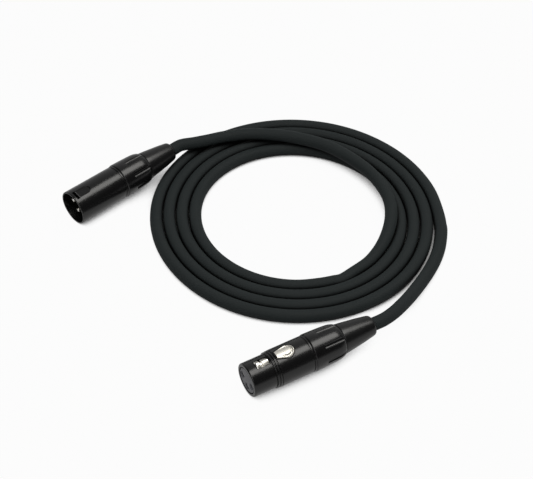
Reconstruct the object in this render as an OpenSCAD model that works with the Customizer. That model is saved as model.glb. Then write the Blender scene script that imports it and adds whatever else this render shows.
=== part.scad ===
// Coiled three-pin audio cable: a plug with a male insert, a plug with a
// female insert and push latch, and the cable wound flat between them.
// A plug is drawn lying along +X with its mouth at X = 0 and its latch or
// window on +Z, and place() then lays it on the floor.

/* [Cable] */
// Outside diameter of the cable
cable_od = 6.3; // [5.5:0.1:6.5]
// Outside diameter of each of the three inner wires
wire_od = 1.4; // [1:0.1:1.6]
// Centreline radius of the outermost turn, where the winding starts
coil_radius = 72; // [68:0.5:80]
// Step inwards of each turn
coil_pitch = 6.44; // [6.3:0.02:7]
// How far the turns are out of round
coil_oval = 1; // [0:0.1:1.5]
// Where the winding leaves off, in degrees from its start
coil_sweep = 1365; // [1335:15:1380]

/* [Layout] */
// Centre of the coil from the origin, to the right
coil_x = 39.49; // [20:0.01:60]
// Centre of the coil from the origin, to the back
coil_y = 36.48; // [20:0.01:60]
// Mouth of the male plug from the centre of the coil
male_spot = [-109.4, 0]; // [-112:0.1:2]
// Heading of the male plug, from mouth to cable
male_heading = 41.7; // [38:0.1:46]
// Upward tilt of the male plug, whose cable lies on the coil
male_tilt = 1.5; // [1.4:0.1:3]
// Roll of the male plug
male_roll = 10; // [0:1:20]
// Mouth of the female plug from the centre of the coil
female_spot = [-22.5, -110.7]; // [-113:0.1:-20]
// Heading of the female plug, from mouth to cable
female_heading = 29.7; // [27:0.1:32]
// Roll of the female plug
female_roll = 2; // [0:1:20]

/* [Contacts] */
// Radius of the circle that the three contacts stand on
contact_ring = 4; // [3.8:0.1:4.2]
// Diameter of a male pin
pin_d = 2.38; // [2.2:0.02:2.5]
// Depth of the pin tips behind the plug's mouth
pin_recess = 2.8; // [2:0.1:4]
// Outside diameter of a socket contact
socket_d = 3.2; // [3:0.1:3.4]
// Depth of a socket contact's bore
socket_depth = 13; // [11:0.5:14]
// Outside diameter of a solder cup
cup_d = 2.7; // [2.5:0.1:3]
// Bore of a solder cup
cup_bore = 1.7; // [1.6:0.1:2]

/* [Male shell] */
// Outside diameter at the mouth
male_od = 17.6; // [17.4:0.1:18]
// Outside diameter at the rear shoulder
male_rear_od = 17.16; // [17:0.02:17.4]
// Length from the mouth to the rear shoulder
male_length = 28.3; // [28:0.1:32]
// Bore that takes the nose of a female plug
male_bore = 16.1; // [16:0.05:16.3]
// Depth of that bore
male_depth = 15.8; // [15:0.1:16.5]
// Width of the latch window
window_w = 5.2; // [4:0.1:6]
// Length of the latch window
window_l = 1.8; // [1.5:0.1:2.5]
// Length of the D-shaped flat behind the window
flat_l = 7.3; // [6:0.1:9]
// Depth of the flat below the shell's surface
flat_depth = 0.45; // [0.2:0.05:0.5]

/* [Female shell] */
// Outside diameter of the nose
nose_od = 16; // [15.8:0.02:16]
// Length of the nose
nose_length = 11; // [10.5:0.1:12]
// Outside diameter behind the collar
female_od = 17.34; // [17.2:0.02:17.6]
// Length from the mouth to the rear shoulder
female_length = 31.2; // [31:0.1:34]
// Length of the ribbed collar behind the nose
collar_length = 3; // [2.6:0.1:3.4]

/* [Both shells] */
// Bore that holds the insert
seat_bore = 14; // [13.8:0.05:14.2]
// Outside diameter of the threaded spigot
thread_od = 15.7; // [15.5:0.05:15.9]
// Length of the threaded spigot
thread_length = 6; // [5.5:0.1:6.5]
// Pitch of the thread
thread_pitch = 1; // [0.75:0.05:1.1]
// Bevel at the mouths
mouth_bevel = 0.3; // [0.1:0.05:0.4]
// Thickness of the lip or rib that stops the insert
stop_length = 1; // [0.8:0.1:1.2]

/* [Latch] */
// Width of the latch's arm
latch_w = 2.7; // [2.4:0.1:3]
// Width of the hook at the front of the arm
hook_w = 4.4; // [3.6:0.1:4.6]
// Thickness of the arm
arm_t = 1; // [0.8:0.05:1.2]
// Height of the arm's underside above the plug's axis
arm_z = 5.6; // [5.5:0.05:5.7]
// Front of the hook behind the mouth
hook_front = 4; // [3.8:0.1:4.4]
// Height of the hook's catch above the plug's axis
hook_z = 8.95; // [8.6:0.05:9.1]
// Width of the push tab where it is widest
tab_w = 6.8; // [5.6:0.1:7]
// Width of the push tab at its flat front
tab_front_w = 3.6; // [3:0.1:4.4]
// Length of the push tab
tab_l = 8.9; // [8:0.1:9]
// Radius of the tab's rounded top about the plug's axis
tab_r = 9.2; // [9:0.05:9.4]
// Gap between the tab and its opening in the shell
tab_gap = 0.5; // [0.4:0.05:0.6]
// Pivot of the latch behind the mouth
pivot_s = 24.2; // [24:0.1:24.4]
// Height of the pivot above the plug's axis
pivot_z = 5.9; // [5.8:0.05:5.95]
// Diameter of the pivot pin
pivot_d = 1; // [0.8:0.05:1.1]
// Wire of the latch spring
spring_wire = 0.24; // [0.2:0.02:0.3]
// Diameter of the latch spring at the middle of its wire
spring_d = 1.7; // [1.5:0.05:1.9]
// Turns of the latch spring
spring_turns = 4; // [3:1:5]

/* [Bushing and boot] */
// Largest diameter of the screw bushing
bushing_od = 17.86; // [17.7:0.02:18]
// Length of the screw bushing
bushing_length = 16.6; // [16:0.1:18]
// Number of grip flutes round the bushing
flutes = 7; // [6:1:9]
// Radius of a grip flute
flute_r = 1.4; // [1.2:0.05:1.6]
// Depth of a flute at its blunt front
flute_depth = 0.65; // [0.4:0.05:0.7]
// Distance from the shoulder to the front of the flutes
flute_front = 5.7; // [5:0.1:8]
// How far the male plug's bushing is screwed round
male_grip_turn = 43; // [0:1:90]
// How far the female plug's bushing is screwed round
female_grip_turn = 38; // [0:1:90]
// Diameter of the boot where it leaves the bushing
boot_od = 14.3; // [14:0.1:14.6]
// Diameter of the boot near its tip
boot_tip_od = 9.7; // [9.2:0.1:10.2]
// Length of the boot behind the bushing
boot_length = 17.4; // [15:0.1:20]
// Bore of the bushing's rear lip
lip_bore = 13.5; // [13.2:0.1:13.8]
// Length of the bushing's rear lip
lip_length = 2.4; // [2:0.1:3]
// Number of fingers on the cable chuck
chuck_fingers = 4; // [3:1:6]

/* [Clearances] */
// Radial gap of a running fit
run_gap = 0.05; // [0.03:0.01:0.08]
// Radial gap of a seated piece
seat_gap = 0.05; // [0.03:0.01:0.08]
// Gap between faces that stop against each other
face_gap = 0.05; // [0.03:0.01:0.1]
// Radial gap between the boot and the cable
boot_gap = 0.1; // [0.05:0.01:0.2]

/* [Hidden] */
$fn = 96;
eps = 0.02;

cable_r = cable_od / 2;
// Direction of each contact about the plug's axis, from the latch's side
contact_turns = [90, -90, 180];

// Inside of both plugs: radii, and distances behind the mouth or the shoulder
seat_r = seat_bore / 2;
insert_r = seat_r - seat_gap;
thread_r = thread_od / 2;
stop_r = seat_r - 0.5;
boss_r = stop_r - seat_gap;
insert_end = 25.5;
pin_shank_r = pin_d / 2 + 0.2;
cup_floor = 20;
cup_end = 24.8;
cup_pocket_r = cup_d / 2 + 0.5;
flange_t = 0.8;
cable_entry = 3.2;
chuck_end = 12.2;
flange_start = chuck_end + face_gap;
lip_start = bushing_length - lip_length;
chamber_r = thread_r - 0.65;
flute_lean = 4;

// Latch and its slots
arm_slot_w = latch_w + 0.4;
hook_slot_w = hook_w + 0.4;
hook_back = nose_length - 0.4;
groove_floor = arm_z - 1.7;
opening_front = nose_length + collar_length + 0.1;
tab_front = opening_front + tab_gap;
tab_under = 7.65;
tab_facets = 14;
spring_s = 18.5;
spring_seat = groove_floor - 1;
spring_r = spring_d / 2;
pin_half = sqrt(pow(insert_r, 2) - pow(pivot_z + pivot_d / 2, 2)) - seat_gap;

// Heights and tilt of the plugs as they lie
male_z = male_od / 2 * cos(male_tilt) - mouth_bevel * sin(male_tilt);
bushing_bevel = 0.5;
female_span = female_length + bushing_bevel - nose_length - 1;
female_tilt = asin((bushing_od - female_od) / 2 / female_span);
female_z = bushing_od / 2 * cos(female_tilt)
         - (female_length + bushing_bevel) * sin(female_tilt);

male_end = male_length + bushing_length + boot_length;
female_end = female_length + bushing_length + boot_length;

// ---------------------------------------------------------------- helpers

function unit(v) = v / norm(v);

// Point of a placed plug's axis, a distance s behind its mouth
function along(spot, z, heading, tilt, s) =
    [spot[0], spot[1], z]
    + s * [cos(heading) * cos(tilt), sin(heading) * cos(tilt), sin(tilt)];

module place_male()
    translate([coil_x + male_spot[0], coil_y + male_spot[1], male_z])
        rotate([0, 0, male_heading]) rotate([0, -male_tilt, 0])
            rotate([male_roll, 0, 0]) children();

module place_female()
    translate([coil_x + female_spot[0], coil_y + female_spot[1], female_z])
        rotate([0, 0, female_heading]) rotate([0, -female_tilt, 0])
            rotate([female_roll, 0, 0]) children();

// A turned piece: outline points are [radius, distance behind the mouth]
module turned(outline)
    rotate([0, 90, 0]) rotate_extrude() polygon(outline);

// A round bar along the plug from s0 to s1
module bar(r, s0, s1)
    translate([s0, 0, 0]) rotate([0, 90, 0]) cylinder(r = r, h = s1 - s0);

// A child set off to one of the three contact places
module at_contact(turn)
    rotate([turn, 0, 0]) translate([0, 0, contact_ring]) children();

// ------------------------------------------------------------ tube sweeping

// Ring of points round a centre, square to the way the cable runs there
function ring(p, way, r, sides, turn) =
    let (side = unit(cross(way, [0, 0, 1])), up = cross(side, way))
    [for (i = [0:sides - 1])
        p + r * cos(turn + i * 360 / sides) * side
          + r * sin(turn + i * 360 / sides) * up];

function way_at(path, i) =
    let (last = len(path) - 1)
    unit(path[min(i + 1, last)] - path[max(i - 1, 0)]);

module tube(path, r, sides, turn) {
    rings = [for (i = [0:len(path) - 1])
        ring(path[i], way_at(path, i), r, sides, turn)];
    points = [for (one = rings) for (p = one) p];
    last = (len(path) - 1) * sides;
    walls = [for (i = [0:len(path) - 2]) for (j = [0:sides - 1])
        let (a = i * sides + j, b = i * sides + (j + 1) % sides)
        for (face = [[a, b, b + sides], [a, b + sides, a + sides]]) face];
    caps = [for (j = [1:sides - 2])
        for (face = [[0, j + 1, j], [last, last + j, last + j + 1]]) face];
    polyhedron(points, concat(walls, caps));
}

// ------------------------------------------------------------- shared pieces

// Thread of a spigot, drawn as grooves a pitch apart
function thread_outline(s0) =
    [for (i = [0:floor((thread_length - 0.8) / thread_pitch) - 1])
        let (s = s0 + 0.3 + i * thread_pitch)
        for (p = [[thread_r, s], [thread_r - 0.3, s + thread_pitch * 0.35],
                  [thread_r, s + thread_pitch * 0.7]]) p];

// Solder cup and flange at the back of a contact
module contact_back()
    difference() {
        union() {
            bar(cup_pocket_r - 0.2, cup_floor, cup_floor + flange_t);
            bar(cup_d / 2, cup_floor, cup_end);
        }
        bar(cup_bore / 2, cup_floor + 2, cup_end + 1);
    }

// Pockets for the flanges and cups in the back of an insert
module cup_pockets()
    for (turn = contact_turns)
        at_contact(turn) bar(cup_pocket_r, cup_floor, insert_end + 1);

// Split collet that grips the cable, pushed home by the bushing
module chuck(shoulder) {
    grip = shoulder + cable_entry;
    mouth_r = seat_r - 1.4;
    difference() {
        turned([
            [mouth_r, insert_end + face_gap],
            [seat_r - seat_gap, insert_end + face_gap],
            [seat_r - seat_gap, shoulder + thread_length + 0.3],
            [cable_r + 2.2, shoulder + chuck_end],
            [cable_r + seat_gap, shoulder + chuck_end],
            [cable_r + seat_gap, grip + 1.5],
            [mouth_r, grip - 0.6]]);
        for (i = [0:chuck_fingers - 1])
            rotate([i * 360 / chuck_fingers + 45, 0, 0])
                translate([grip + 2, -0.4, 0]) cube([chuck_end, 0.8, seat_r + 1]);
    }
}

module bushing(shoulder, grip_turn) {
    r = bushing_od / 2;
    back = shoulder + bushing_length;
    difference() {
        turned([
            [thread_r + run_gap, shoulder + face_gap],
            [r - 0.3, shoulder + face_gap],
            [r, shoulder + bushing_bevel],
            [r - 0.13, shoulder + bushing_length * 0.38],
            [r - 0.28, shoulder + bushing_length * 0.62],
            [r - 0.48, back - 3.6],
            [r - 0.72, back - 2.3],
            [r - 1.18, back - 0.9],
            [r - 1.7, back - 0.2],
            [r - 2, back],
            [lip_bore / 2, back],
            [lip_bore / 2, shoulder + lip_start],
            [chamber_r, shoulder + lip_start],
            [chamber_r, shoulder + thread_length + 0.8],
            [thread_r + run_gap, shoulder + thread_length + 0.3]]);
        for (i = [0:flutes - 1])
            rotate([i * 360 / flutes + grip_turn, 0, 0])
                translate([shoulder + flute_front, 0, r + flute_r - flute_depth])
                    rotate([0, 90 + flute_lean, 0])
                        cylinder(r = flute_r, h = bushing_length, $fn = 48);
    }
}

module boot(shoulder) {
    back = shoulder + bushing_length;
    tip = back + boot_length;
    bore_r = cable_r + boot_gap;
    tip_r = boot_tip_od / 2;
    turned([
        [bore_r, shoulder + flange_start],
        [chamber_r - run_gap, shoulder + flange_start],
        [chamber_r - run_gap, shoulder + lip_start - face_gap],
        [lip_bore / 2 - run_gap, shoulder + lip_start - face_gap],
        [lip_bore / 2 - run_gap, back + face_gap],
        [boot_od / 2 - 0.15, back + face_gap],
        [boot_od / 2, back + 0.3],
        [tip_r + 0.25, tip - 2.2],
        [tip_r - 0.05, tip - 0.9],
        [tip_r - 0.4, tip - 0.3],
        [tip_r - 0.9, tip],
        [bore_r, tip]]);
}

// Jacketed end of the cable inside a plug
module cable_end(shoulder, tip) bar(cable_r, shoulder + cable_entry, tip);

// One inner wire, from its solder cup to the cut jacket
module wire(turn, shoulder) {
    jacket = shoulder + cable_entry;
    low = wire_od * 0.9;
    path = [
        [cup_floor + 2, 0, contact_ring],
        [cup_end + 0.3, 0, contact_ring],
        [cup_end + 1.3, 0, contact_ring - 0.3],
        [jacket - 1.6, 0, low + 0.3],
        [jacket - 0.6, 0, low],
        [jacket, 0, low]];
    rotate([turn, 0, 0]) tube(path, wire_od / 2, 8, 22.5);
}

// --------------------------------------------------------------- male plug

module male_shell() {
    r = male_od / 2;
    rear_r = male_rear_od / 2;
    window_front = 1.3;
    flat_front = window_front + window_l;
    flat_half = window_w / 2 - 0.1;
    color("#1b1c1e") place_male() difference() {
        turned(concat([
            [male_bore / 2, mouth_bevel / 2],
            [male_bore / 2 + mouth_bevel / 2, 0],
            [r - mouth_bevel, 0],
            [r, mouth_bevel],
            [rear_r, male_length - 1.2],
            [rear_r - 0.25, male_length - 1.1],
            [rear_r - 0.25, male_length - 0.8],
            [rear_r, male_length - 0.7],
            [rear_r, male_length],
            [thread_r, male_length]],
            thread_outline(male_length), [
            [thread_r, male_length + thread_length - 0.2],
            [thread_r - 0.2, male_length + thread_length],
            [seat_r, male_length + thread_length],
            [seat_r, male_depth + stop_length],
            [stop_r, male_depth + stop_length],
            [stop_r, male_depth],
            [male_bore / 2, male_depth]]));
        translate([window_front, -window_w / 2, stop_r])
            cube([window_l, window_w, r]);
        translate([flat_front - eps, 0, r - flat_depth]) linear_extrude(2) {
            translate([0, -flat_half])
                square([flat_l - flat_half, 2 * flat_half]);
            translate([flat_l - flat_half, 0]) circle(flat_half);
        }
    }
}

module male_insert() {
    color("#202124") place_male() difference() {
        union() {
            bar(insert_r, male_depth + stop_length, insert_end);
            bar(boss_r, male_depth + 0.1, male_depth + stop_length + eps);
        }
        cup_pockets();
        for (turn = contact_turns)
            at_contact(turn) bar(pin_shank_r + 0.02, male_depth - 1, insert_end);
    }
}

module male_pin(turn) {
    r = pin_d / 2;
    color("silver") place_male() at_contact(turn) union() {
        turned([
            [0, pin_recess], [r * 0.55, pin_recess + 0.06],
            [r * 0.85, pin_recess + 0.35], [r, pin_recess + 0.95],
            [r, male_depth + 0.1], [pin_shank_r, male_depth + 0.1],
            [pin_shank_r, cup_floor + eps], [0, cup_floor + eps]]);
        contact_back();
    }
}

module male_pin_1() male_pin(contact_turns[0]);
module male_pin_2() male_pin(contact_turns[1]);
module male_pin_3() male_pin(contact_turns[2]);

module male_chuck() color("dimgray") place_male() chuck(male_length);
module male_bushing() color("#18191b") place_male() bushing(male_length, male_grip_turn);
module male_boot() color("#222326") place_male() boot(male_length);
module male_cable_end() color("#26282a") place_male() cable_end(male_length, male_end);
module male_wire_1() color("goldenrod") place_male() wire(contact_turns[0], male_length);
module male_wire_2() color("firebrick") place_male() wire(contact_turns[1], male_length);
module male_wire_3() color("white") place_male() wire(contact_turns[2], male_length);

// ------------------------------------------------------------- female plug

module female_shell() {
    r = female_od / 2;
    nose_r = nose_od / 2;
    collar = nose_length;
    back = nose_length + collar_length;
    color("#1b1c1e") place_female() difference() {
        turned(concat([
            [stop_r, 0],
            [nose_r - 1.5 * mouth_bevel, 0],
            [nose_r - 0.4 * mouth_bevel, 0.3 * mouth_bevel],
            [nose_r, 1.5 * mouth_bevel],
            [nose_r, collar],
            [nose_r - 0.25, collar + 0.05],
            [nose_r - 0.25, collar + 0.35],
            [r - 0.25, collar + 0.45],
            [r - 0.1, collar + 0.75],
            [r - 0.25, collar + 1.25],
            [r - 0.55, collar + 1.35],
            [r - 0.55, collar + 1.65],
            [r - 0.15, collar + 1.75],
            [r, collar + 2.1],
            [r - 0.1, collar + 2.5],
            [r - 0.4, back - 0.4],
            [r - 0.4, back - 0.15],
            [r, back],
            [r, female_length - 1.2],
            [r - 0.25, female_length - 1.1],
            [r - 0.25, female_length - 0.8],
            [r, female_length - 0.7],
            [r, female_length],
            [thread_r, female_length]],
            thread_outline(female_length), [
            [thread_r, female_length + thread_length - 0.2],
            [thread_r - 0.2, female_length + thread_length],
            [seat_r, female_length + thread_length],
            [seat_r, stop_length],
            [stop_r, stop_length]]));
        translate([hook_front - 0.4, -hook_slot_w / 2, arm_z])
            cube([nose_length - hook_front + 0.4, hook_slot_w, nose_r]);
        translate([tab_front, 0, arm_z]) linear_extrude(r) tab_outline(-tab_gap);
    }
}

module female_insert() {
    color("#3a3b40") place_female() difference() {
        union() {
            bar(insert_r, stop_length, insert_end);
            bar(boss_r, 0.15, stop_length + eps);
        }
        cup_pockets();
        for (turn = contact_turns) at_contact(turn) {
            bar(socket_d / 2 - 0.15, 0, stop_length + 1);
            bar(socket_d / 2 + 0.02, stop_length, insert_end);
        }
        translate([hook_front - 1, -hook_slot_w / 2, groove_floor])
            cube([nose_length - hook_front + 1.3, hook_slot_w, seat_r]);
        translate([nose_length, -arm_slot_w / 2, groove_floor])
            cube([insert_end, arm_slot_w, seat_r]);
        translate([spring_s, 0, spring_seat])
            cylinder(r = spring_r + 0.35, h = seat_r);
        translate([pivot_s, 0, pivot_z]) rotate([90, 0, 0])
            cylinder(r = pivot_d / 2 + 0.02, h = 2 * seat_r, center = true);
    }
}

module female_socket(turn) {
    r = socket_d / 2;
    front = stop_length;
    color("silver") place_female() at_contact(turn) difference() {
        union() {
            bar(r, front, cup_floor + eps);
            contact_back();
        }
        bar(pin_d / 2 + run_gap, front - 1, front + socket_depth);
    }
}

module female_socket_1() female_socket(contact_turns[0]);
module female_socket_2() female_socket(contact_turns[1]);
module female_socket_3() female_socket(contact_turns[2]);

// Outline of the push tab seen from above, set in by a margin: a flat front,
// and sides that flare out to meet the round back
module tab_outline(inset = 0) {
    round_r = tab_w / 2 - inset;
    middle = tab_l - tab_w / 2;
    front_half = tab_front_w / 2 - inset;
    reach = norm([middle - inset, front_half]);
    flare = asin(round_r / reach) - atan2(front_half, middle - inset);
    polygon(concat(
        [[inset, front_half], [inset, -front_half]],
        [for (i = [-tab_facets:tab_facets])
            let (a = (90 + flare) * i / tab_facets)
            [middle + round_r * cos(a), round_r * sin(a)]]));
}

module female_latch() {
    arm_top = arm_z + arm_t;
    eye_r = pivot_d / 2 + 0.45;
    color("silver") place_female() difference() {
        union() {
            // Hook with its catch, saddle and heel, crowned like the nose
            intersection() {
                translate([0, hook_w / 2, 0]) rotate([90, 0, 0])
                    linear_extrude(hook_w) polygon([
                        [hook_front, arm_z], [hook_front - 0.1, hook_z - 1.6],
                        [hook_front + 0.5, hook_z - 0.1], [hook_front + 0.9, hook_z],
                        [hook_front + 2.2, hook_z], [hook_front + 2.4, hook_z - 0.9],
                        [hook_front + 3.2, hook_z - 0.9], [hook_front + 3.5, hook_z - 0.3],
                        [hook_back, hook_z - 0.45], [hook_back, arm_z]]);
                bar(hook_z, hook_front - 1, hook_back + 1);
            }
            translate([hook_back - 1, -latch_w / 2, arm_z])
                cube([pivot_s - hook_back + 1, latch_w, arm_t]);
            translate([pivot_s, 0, pivot_z]) rotate([90, 0, 0])
                cylinder(r = eye_r, h = latch_w, center = true);
            // Web and rounded push tab
            translate([tab_front + 0.2, -latch_w / 2, arm_z])
                cube([tab_l - 1.6, latch_w, tab_under - arm_z + 0.3]);
            intersection() {
                translate([tab_front, 0, tab_under]) linear_extrude(3) tab_outline();
                bar(tab_r, tab_front - 1, tab_front + tab_l + 1);
            }
        }
        translate([pivot_s, 0, pivot_z]) rotate([90, 0, 0])
            cylinder(r = pivot_d / 2 + run_gap, h = 2 * latch_w, center = true);
        // Thumb hollow in the top of the tab
        translate([tab_front, 0, tab_r - 0.35]) linear_extrude(2) tab_outline(0.9);
    }
}

module latch_pin() {
    color("silver") place_female() translate([pivot_s, 0, pivot_z])
        rotate([90, 0, 0]) cylinder(r = pivot_d / 2, h = 2 * pin_half, center = true);
}

// Coil spring under the tab, one ring of points every 45 degrees
module latch_spring() {
    low = spring_seat + spring_wire / 2 + face_gap;
    high = arm_z - spring_wire / 2 - face_gap;
    steps = spring_turns * 8;
    path = [for (i = [0:steps])
        [spring_r * cos(i * 45), spring_r * sin(i * 45), low + (high - low) * i / steps]];
    color("silver") place_female() translate([spring_s, 0, 0])
        tube(path, spring_wire / 2, 6, 0);
}

module female_chuck() color("dimgray") place_female() chuck(female_length);
module female_bushing()
    color("#18191b") place_female() bushing(female_length, female_grip_turn);
module female_boot() color("#222326") place_female() boot(female_length);
module female_cable_end()
    color("#26282a") place_female() cable_end(female_length, female_end);
module female_wire_1() color("goldenrod") place_female() wire(contact_turns[0], female_length);
module female_wire_2() color("firebrick") place_female() wire(contact_turns[1], female_length);
module female_wire_3() color("white") place_female() wire(contact_turns[2], female_length);

// ------------------------------------------------------------------- cable

// The winding: each turn lies a pitch inside the one before, flat on the floor
coil_step = 15;
coil_oval_turn = 104;
function coil_r(a) =
    coil_radius - coil_pitch * a / 360 + coil_oval * cos(2 * a + coil_oval_turn);
function coil_point(a) = [coil_r(a) * cos(a), coil_r(a) * sin(a), cable_r];
function coil_way(a) = unit(coil_point(a + 1) - coil_point(a - 1));

// Both ends of the winding run straight for one cable diameter
coil_start = coil_point(0) - cable_od * coil_way(0);
coil_stop = coil_point(coil_sweep) + cable_od * coil_way(coil_sweep);
coil_path = concat(
    [coil_start],
    [for (a = [0:coil_step:coil_sweep]) coil_point(a)],
    [coil_stop]);

// Points of the free stretches, from the centre of the coil
male_exit = along(male_spot, male_z, male_heading, male_tilt, male_end);
male_straight = along(male_spot, male_z, male_heading, male_tilt, male_end + cable_od);
female_exit = along(female_spot, female_z, female_heading, female_tilt, female_end);
female_straight = along(female_spot, female_z, female_heading, female_tilt,
                        female_end + cable_od);
crossing_points = [
    [27.8, -39.3, 3.2], [36.2, -31.5, 3.5], [42.5, -21.8, 5], [46.3, -11.5, 6.6],
    [47.8, -2, 7.7], [47, 8.5, 8.1], [43.5, 18.5, 8.3], [37.3, 28.9, 8.6],
    [27.9, 38.7, 9.1], [17.9, 46.2, 9.5], [8.3, 50.6, 9.6], [-5.2, 54.5, 9.6],
    [-22, 55.8, 9.6], [-35, 53.7, 9.6], [-44.8, 50.3, 9.8], [-51.6, 47.8, 10.2]];
floor_points = [
    [44.5, -70.5, 8.9], [48.5, -64.8, 7.5], [52.5, -58.4, 6], [55.7, -52.9, 4.9],
    [59.1, -46.9, 4], [63.1, -39.6, 3.4], [67.1, -31.1, 3.2], [70.1, -22.1, 3.15]];

male_path = concat(
    [coil_stop, coil_stop + cable_r * coil_way(coil_sweep)],
    crossing_points,
    [male_straight, male_exit]);
female_path = concat(
    [female_exit, female_straight],
    floor_points,
    [coil_start - cable_r * coil_way(0), coil_start]);

function length_of(path) =
    len(path) < 2 ? 0
    : [for (i = 1, sum = norm(path[1] - path[0]); i < len(path);
            i = i + 1, sum = sum + (i < len(path) ? norm(path[i] - path[i - 1]) : 0)) sum]
      [len(path) - 2];

// Least gap between neighbouring turns, measured between the tube's own points
coil_rings = [for (i = [0:len(coil_path) - 1])
    ring(coil_path[i], way_at(coil_path, i), cable_r, 6, 30)];
turn_rings = 360 / coil_step;
coil_gap = min([for (i = [1:len(coil_rings) - turn_rings - 2])
    for (p = coil_rings[i]) for (k = [-1:1]) for (q = coil_rings[i + turn_rings + k])
        norm(p - q)]);
echo(coil_least_gap = coil_gap,
     cord_length = length_of(coil_path) + length_of(male_path) + length_of(female_path));

module laid_out() translate([coil_x, coil_y, 0]) children();

module cable_coil() color("#26282a") laid_out() tube(coil_path, cable_r, 6, 30);
module male_lead() color("#26282a") laid_out() tube(male_path, cable_r, 12, 15);
module female_lead() color("#26282a") laid_out() tube(female_path, cable_r, 12, 15);

male_shell();
male_insert();
male_pin_1();
male_pin_2();
male_pin_3();
male_chuck();
male_bushing();
male_boot();
male_cable_end();
male_wire_1();
male_wire_2();
male_wire_3();
female_shell();
female_insert();
female_socket_1();
female_socket_2();
female_socket_3();
female_latch();
latch_pin();
latch_spring();
female_chuck();
female_bushing();
female_boot();
female_cable_end();
female_wire_1();
female_wire_2();
female_wire_3();
cable_coil();
male_lead();
female_lead();
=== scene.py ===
import math

import bmesh
import bpy
from mathutils import Matrix, Vector


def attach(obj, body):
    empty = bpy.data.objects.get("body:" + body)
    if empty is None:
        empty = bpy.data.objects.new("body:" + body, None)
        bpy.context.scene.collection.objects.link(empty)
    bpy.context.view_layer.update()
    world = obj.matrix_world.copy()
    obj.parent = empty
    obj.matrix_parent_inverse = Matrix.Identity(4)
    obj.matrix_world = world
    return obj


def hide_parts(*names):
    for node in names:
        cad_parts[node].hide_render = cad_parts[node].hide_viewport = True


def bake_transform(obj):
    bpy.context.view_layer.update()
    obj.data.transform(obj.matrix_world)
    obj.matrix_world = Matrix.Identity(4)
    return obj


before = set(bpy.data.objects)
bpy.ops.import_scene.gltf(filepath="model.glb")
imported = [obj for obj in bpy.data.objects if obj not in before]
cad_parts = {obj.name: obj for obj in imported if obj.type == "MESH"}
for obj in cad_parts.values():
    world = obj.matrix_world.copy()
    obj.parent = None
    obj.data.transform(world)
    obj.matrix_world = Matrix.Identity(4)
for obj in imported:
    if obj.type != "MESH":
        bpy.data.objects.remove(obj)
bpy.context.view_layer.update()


# ------------------------------------------------------------------ camera
# The view: a long lens a little over half a metre off, looking down at the
# coil from in front.
camera = bpy.data.objects.new("camera", bpy.data.cameras.new("camera"))
bpy.context.collection.objects.link(camera)
camera.location = (0.025738, -0.478110, 0.487639)
camera.rotation_euler = (math.radians(45.7976), 0, 0)
camera.data.sensor_width = 36
camera.data.lens = 96.085
bpy.context.scene.camera = camera


# ------------------------------------------------------------------- cable
# One length of round microphone cable with a soft matt PVC jacket, extruded
# over a braided screen. It leaves the male plug, crosses over the coil, winds
# 3.8 turns flat on the table and runs along it to the female plug.
cable_d = 0.0063
coil_centre = Vector((0.03949, 0.03648, 0))
outer_turn_r, turn_pitch, out_of_round = 0.072, 0.00644, 0.001


def laid_plug(mouth, heading, tilt, roll):
    """Where a plug lies. Its own X runs from mouth to cable, its Z to the latch."""
    return (Matrix.Translation(mouth)
            @ Matrix.Rotation(math.radians(heading), 4, "Z")
            @ Matrix.Rotation(math.radians(-tilt), 4, "Y")
            @ Matrix.Rotation(math.radians(roll), 4, "X"))


male_place = laid_plug((-0.06991, 0.03648, 0.0087891), 41.7, 1.5, 10)
female_place = laid_plug((0.01699, -0.07422, 0.0085108), 29.7, 0.75621, 2)
male_exit_s = 0.0623
female_exit_s = 0.0652


def winding(angle):
    """Centreline of the winding, slightly oval, each turn inside the one before."""
    turn = math.radians(angle)
    r = (outer_turn_r - turn_pitch * angle / 360
         + out_of_round * math.cos(2 * turn + math.radians(104)))
    return coil_centre + Vector((r * math.cos(turn), r * math.sin(turn), cable_d / 2))


def way_of_winding(angle):
    return (winding(angle + 1) - winding(angle - 1)).normalized()


def from_coil(points):
    return [coil_centre + Vector(p) / 1000 for p in points]


crossing = from_coil([
    (27.8, -39.3, 3.2), (36.2, -31.5, 3.5), (42.5, -21.8, 5), (46.3, -11.5, 6.6),
    (47.8, -2, 7.7), (47, 8.5, 8.1), (43.5, 18.5, 8.3), (37.3, 28.9, 8.6),
    (27.9, 38.7, 9.1), (17.9, 46.2, 9.5), (8.3, 50.6, 9.6), (-5.2, 54.5, 9.6),
    (-22, 55.8, 9.6), (-35, 53.7, 9.6), (-44.8, 50.3, 9.8), (-51.6, 47.8, 10.2)])
on_table = from_coil([
    (44.5, -70.5, 8.9), (48.5, -64.8, 7.5), (52.5, -58.4, 6), (55.7, -52.9, 4.9),
    (59.1, -46.9, 4), (63.1, -39.6, 3.4), (67.1, -31.1, 3.2), (70.1, -22.1, 3.15)])
last_angle = 1365
coil_stop = winding(last_angle) + cable_d * way_of_winding(last_angle)
coil_start = winding(0) - cable_d * way_of_winding(0)
male_exit = male_place @ Vector((male_exit_s, 0, 0))
female_exit = female_place @ Vector((female_exit_s, 0, 0))
route = (
    [male_exit, male_place @ Vector((male_exit_s + cable_d, 0, 0))]
    + crossing[::-1]
    + [coil_stop + cable_d / 2 * way_of_winding(last_angle), coil_stop]
    + [winding(a) for a in range(last_angle, -1, -15)]
    + [coil_start, coil_start - cable_d / 2 * way_of_winding(0)]
    + on_table[::-1]
    + [female_place @ Vector((female_exit_s + cable_d, 0, 0)), female_exit])


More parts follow.
